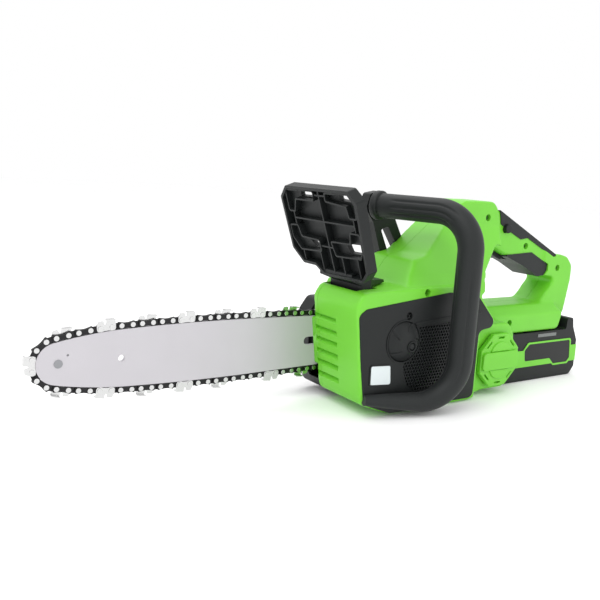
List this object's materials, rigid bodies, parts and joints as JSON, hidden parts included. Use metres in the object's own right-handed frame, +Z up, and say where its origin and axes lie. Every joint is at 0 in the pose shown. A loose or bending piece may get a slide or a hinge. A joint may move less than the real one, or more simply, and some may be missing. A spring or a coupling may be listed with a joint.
{
  "type": "cordless chainsaw",
  "caption": "Battery chainsaw with a guide bar and saw chain, wrap handle, front hand guard, closed rear handle, side cover with vent grille, oil cap and slide-in battery.",
  "frame": {"origin": "on the flat underside, directly below the drive sprocket axis, in the middle plane of the guide bar", "axes": "the bar points along -X, +X is the rear handle and battery end, +Z is up, -Y is the left side with the wrap handle and oil cap"},
  "size_m": [0.6636, 0.161, 0.2217],
  "materials": {
    "green_plastic": "moulded ABS, fine satin texture",
    "black_plastic": "moulded nylon, fine matte texture",
    "black_rubber": "soft overmould, matte",
    "window_plastic": "translucent pale polyethylene",
    "bar_steel": "ground satin",
    "chain_steel": "oiled black oxide",
    "cutter_steel": "chrome plated",
    "machine_steel": "machined",
    "cast_aluminium": "die cast",
    "copper_wire": "enamelled copper",
    "circuit_board": "solder mask",
    "cell_wrap": "shrink sleeve",
    "label_film": "printed film, left blank",
    "natural_plastic": "moulded polyethylene",
    "lamp_plastic": "smoked lens"
  },
  "bodies": {
    "powerhead": {"bar_nuts": "machine_steel", "bar_studs": "machine_steel", "brake_switch": "black_plastic", "chain_drive_links": "chain_steel", "chain_left_cutters": "cutter_steel", "chain_right_cutters": "cutter_steel", "chain_rivets": "cutter_steel", "chain_tie_straps": "chain_steel", "control_board": "circuit_board", "gear_case": "cast_aluminium", "guard_pivot_pin": "machine_steel", "guide_bar": "bar_steel", "handle_strut": "black_plastic", "housing_left": "green_plastic", "housing_right": "green_plastic", "housing_screws": "machine_steel", "lower_grip": "black_rubber", "motor_bearings": "machine_steel", "motor_can": "machine_steel", "motor_cap": "black_plastic", "motor_stator": "machine_steel", "motor_windings": "copper_wire", "nose_axle": "machine_steel", "oil_hose": "black_rubber", "oil_pump": "black_plastic", "oil_tank": "natural_plastic", "oil_window": "window_plastic", "side_cover": "black_plastic", "spindle_bearings": "machine_steel", "sprocket_cover": "black_plastic", "tension_block": "machine_steel", "tension_screw": "machine_steel", "terminal_block": "black_plastic", "trigger_pin": "machine_steel", "trigger_spring": "machine_steel", "trigger_switch": "black_plastic", "upper_grip": "black_rubber", "vent_grille": "black_plastic", "wrap_handle": "black_rubber"},
    "front_guard": {"hand_guard": "black_plastic"},
    "trigger_lever": {"trigger": "black_plastic"},
    "lock_button": {"lock_off_button": "black_plastic"},
    "rotor": {"motor_rotor": "machine_steel", "motor_pinion": "machine_steel", "motor_fan": "black_plastic"},
    "spindle": {"reduction_gear": "machine_steel", "sprocket_spindle": "machine_steel", "drive_sprocket": "machine_steel", "sprocket_clip": "machine_steel"},
    "nose_wheel": {"nose_sprocket": "machine_steel"},
    "filler_cap": {"oil_cap": "green_plastic", "oil_cap_seal": "black_rubber"},
    "battery": {"battery_upper_case": "black_plastic", "battery_lower_case": "black_plastic", "battery_band": "green_plastic", "battery_labels": "label_film", "battery_cells": "cell_wrap", "battery_board": "circuit_board", "charge_lamp": "lamp_plastic"},
    "release_button": {"battery_release": "black_plastic"}
  },
  "joints": [
    {"name": "guard_brake", "type": "hinge", "parent": "powerhead", "child": "front_guard", "pos_m": [-0.082, -0.038, 0.112], "axis": [0, 1, 0], "range_deg": [-20, 0]},
    {"name": "trigger_pull", "type": "hinge", "parent": "powerhead", "child": "trigger_lever", "pos_m": [0.13, -0.015, 0.168], "axis": [0, -1, 0], "range_deg": [0, 6], "stiffness_Nm_per_rad": 0.4, "springref_deg": -14.32},
    {"name": "lock_off_press", "type": "slide", "parent": "powerhead", "child": "lock_button", "axis": [0, 1, 0], "range_m": [0, 0.003], "stiffness_N_per_m": 400, "springref_m": -0.002},
    {"name": "motor_spin", "type": "hinge", "parent": "powerhead", "child": "rotor", "pos_m": [-0.04077, -0.04, 0.07504], "axis": [0, 1, 0], "continuous": true},
    {"name": "sprocket_spin", "type": "hinge", "parent": "powerhead", "child": "spindle", "pos_m": [0, -0.01, 0.061], "axis": [0, 1, 0], "continuous": true},
    {"name": "nose_spin", "type": "hinge", "parent": "powerhead", "child": "nose_wheel", "pos_m": [-0.35994, 0, 0.061], "axis": [0, 1, 0], "continuous": true},
    {"name": "oil_cap_turn", "type": "hinge", "parent": "powerhead", "child": "filler_cap", "pos_m": [0.101, -0.076, 0.0405], "axis": [0, 1, 0], "range_deg": [0, 90]},
    {"name": "battery_slide", "type": "slide", "parent": "powerhead", "child": "battery", "axis": [1, 0, 0], "range_m": [0, 0.145]},
    {"name": "battery_release_press", "type": "slide", "parent": "battery", "child": "release_button", "axis": [0, 0, -1], "range_m": [0, 0.003], "stiffness_N_per_m": 500, "springref_m": -0.002}
  ],
  "couplings": [
    {"joint": "sprocket_spin", "follows": "motor_spin", "ratio": -0.23214}
  ]
}
